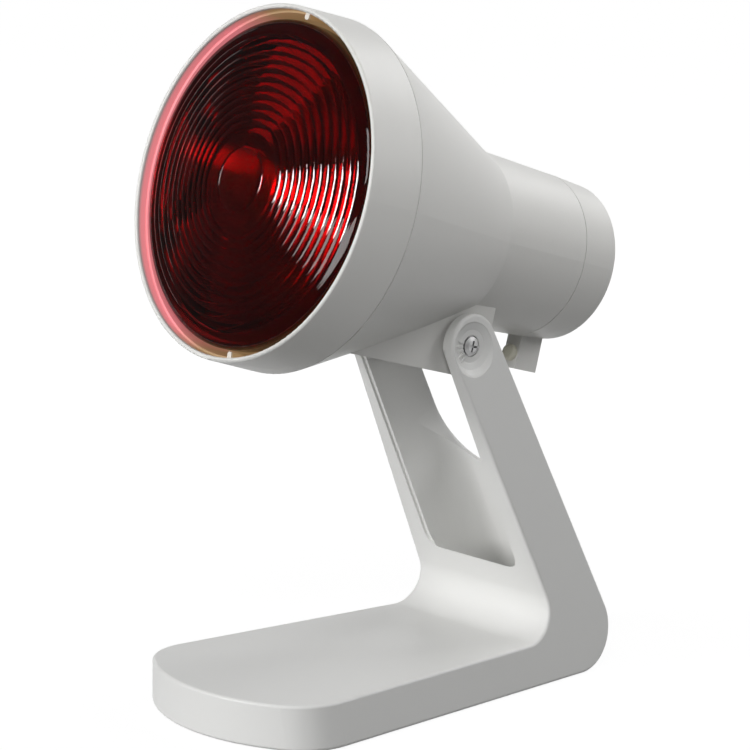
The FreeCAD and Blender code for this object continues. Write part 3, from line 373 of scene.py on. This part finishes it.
def bulb_lens():
    """Pressed red glass: a plain disc, a plain band, then concentric ridges out to the rim."""
    disc_edge_depth = lens_depth(lens_disc_radius)
    profile = [(0.0, lens_depth(0)), (lens_disc_radius * 0.5, lens_depth(lens_disc_radius * 0.5)),
               (lens_disc_radius - lens_groove_half, disc_edge_depth),
               (lens_disc_radius, disc_edge_depth + lens_groove_depth),
               (lens_disc_radius + lens_groove_half, disc_edge_depth)]
    band = lens_ridge_first - lens_disc_radius - lens_band_start
    for i in range(band_points):
        radius = lens_disc_radius + lens_band_start + band * i / band_points
        profile.append((radius, lens_depth(radius)))
    pitch = (lens_ridge_last - lens_ridge_first) / lens_ridge_count
    for i in range(lens_ridge_count * ridge_points):
        radius = lens_ridge_first + pitch * i / ridge_points
        height = lens_ridge_height * ridge((i % ridge_points) / ridge_points)
        profile.append((radius, lens_depth(radius) - height))
    profile += [(lens_ridge_last, lens_depth(lens_ridge_last)), (lens_edge_radius, lens_edge_depth)]
    profile += [(bulb_rim_radius + out, lens_edge_depth + back) for out, back in bulb_rim_rounding]
    profile += [(bulb_rim_radius, bulb_rim_front), (lens_inner_edge, bulb_rim_front)]
    inner_centre = lens_depth(0) + lens_thickness
    inner_rise = bulb_rim_front - inner_centre
    for i in range(inner_points, 0, -1):
        radius = lens_inner_edge * (i - 0.5) / inner_points
        profile.append((radius, inner_centre + dome_sag(lens_inner_edge, inner_rise, radius)))
    profile.append((0.0, inner_centre))
    red_glass = glass("red_glass", (0.52, 0.004, 0.006), roughness=0.03, clarity=1.0,
                      wave_scale=160.0, wave_strength=0.25, wave_height=0.0002)
    piece = finished(revolved(profile, lens_segments), "lens", red_glass, "head", head_matrix(),
                     lens_smooth_angle)
    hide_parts("bulb_lens")


# ---------------------------------------------------------------- camera, background and lights
def add_camera():
    data = bpy.data.cameras.new("camera")
    data.lens = camera_lens
    data.sensor_width = camera_sensor
    data.clip_end = camera_reach
    camera = bpy.data.objects.new("camera", data)
    aim = camera_back.to_track_quat("Z", "Y").to_matrix().to_4x4()
    roll = Matrix.Rotation(math.radians(camera_roll), 4, "Z")
    camera.matrix_world = Matrix.Translation(camera_place) @ (aim @ roll)
    bpy.context.scene.collection.objects.link(camera)
    bpy.context.scene.camera = camera


def seen_directly(n):
    """1 for the rays that see the background: from the camera, a reflection or through glass."""
    path = n.add("ShaderNodeLightPath").outputs
    seen = n.calc("MAXIMUM", path["Is Camera Ray"], path["Is Glossy Ray"])
    return n.calc("MAXIMUM", seen, path["Is Transmission Ray"])


def add_world():
    world = bpy.data.worlds.new("world")
    bpy.context.scene.world = world
    world.use_nodes = True
    n = Nodes(world.node_tree)
    fill = n.add("ShaderNodeBackground", {"Color": (1.0, 1.0, 1.0, 1.0), "Strength": world_fill})
    white = n.add("ShaderNodeBackground", {"Color": (1.0, 1.0, 1.0, 1.0), "Strength": 1.0})
    mix = n.add("ShaderNodeMixShader", {0: seen_directly(n), 1: fill.outputs[0], 2: white.outputs[0]})
    n.add("ShaderNodeOutputWorld", {"Surface": mix.outputs[0]})


def add_floor():
    """White to the eye, with the lamp's soft shadow, but dark enough not to light the head from below."""
    bpy.ops.mesh.primitive_plane_add(size=floor_size, location=(0, 0, 0))
    floor = bpy.context.object
    floor.name = "floor"
    material, n = new_material("floor_white")
    place = n.add("ShaderNodeTexCoord").outputs["Object"]
    away = n.add("ShaderNodeVectorMath", {0: place}, operation="LENGTH").outputs["Value"]
    glow = n.ramp(away, *floor_glow_span, floor_glow_near, floor_glow_far)
    n.surface(n.add("ShaderNodeBsdfPrincipled", {
        "Base Color": (floor_grey, floor_grey, floor_grey, 1.0), "Roughness": 1.0, "Specular IOR Level": 0.0,
        "Emission Color": (1, 1, 1, 1), "Emission Strength": n.calc("MULTIPLY", seen_directly(n), glow)}))
    floor.data.materials.append(material)


def add_flags():
    """Dark flags before the lamp, seen only in reflections and glass: a half dome and a card below."""
    made = bmesh.new()
    bmesh.ops.create_uvsphere(made, u_segments=48, v_segments=24, radius=flag_distance)
    behind = [v for v in made.verts if v.co.y > flag_edge]
    bmesh.ops.delete(made, geom=behind, context="VERTS")
    corners = ((-flag_distance, -flag_distance), (flag_distance, -flag_distance),
               (flag_distance, card_edge), (-flag_distance, card_edge))
    made.faces.new([made.verts.new((x, y, card_height)) for x, y in corners])
    mesh = bpy.data.meshes.new("flags")
    made.to_mesh(mesh)
    made.free()
    material, n = new_material("flag_black")
    n.surface(n.add("ShaderNodeEmission", {"Color": (1.0, 0.95, 0.92, 1.0), "Strength": flag_glow}))
    mesh.materials.append(material)
    flags = bpy.data.objects.new("flags", mesh)
    bpy.context.scene.collection.objects.link(flags)
    flags.visible_camera = False
    flags.visible_diffuse = False
    flags.visible_shadow = False


def add_softboxes():
    for name, place, size, power, shown in softboxes:
        data = bpy.data.lights.new(name, "AREA")
        data.shape = "RECTANGLE"
        data.size, data.size_y = size
        data.energy = power
        lamp = bpy.data.objects.new(name, data)
        aim = (Vector(place) - lights_aim).to_track_quat("Z", "Y")
        lamp.matrix_world = Matrix.Translation(Vector(place)) @ aim.to_matrix().to_4x4()
        lamp.visible_transmission = shown != "not in glass"
        lamp.visible_diffuse = lamp.visible_glossy = shown != "only in glass"
        bpy.context.scene.collection.objects.link(lamp)


bpy.context.scene.view_settings.view_transform = "Standard"
add_camera()
add_world()
add_floor()
add_flags()
add_softboxes()
dress_nodes()
bulb_lens()
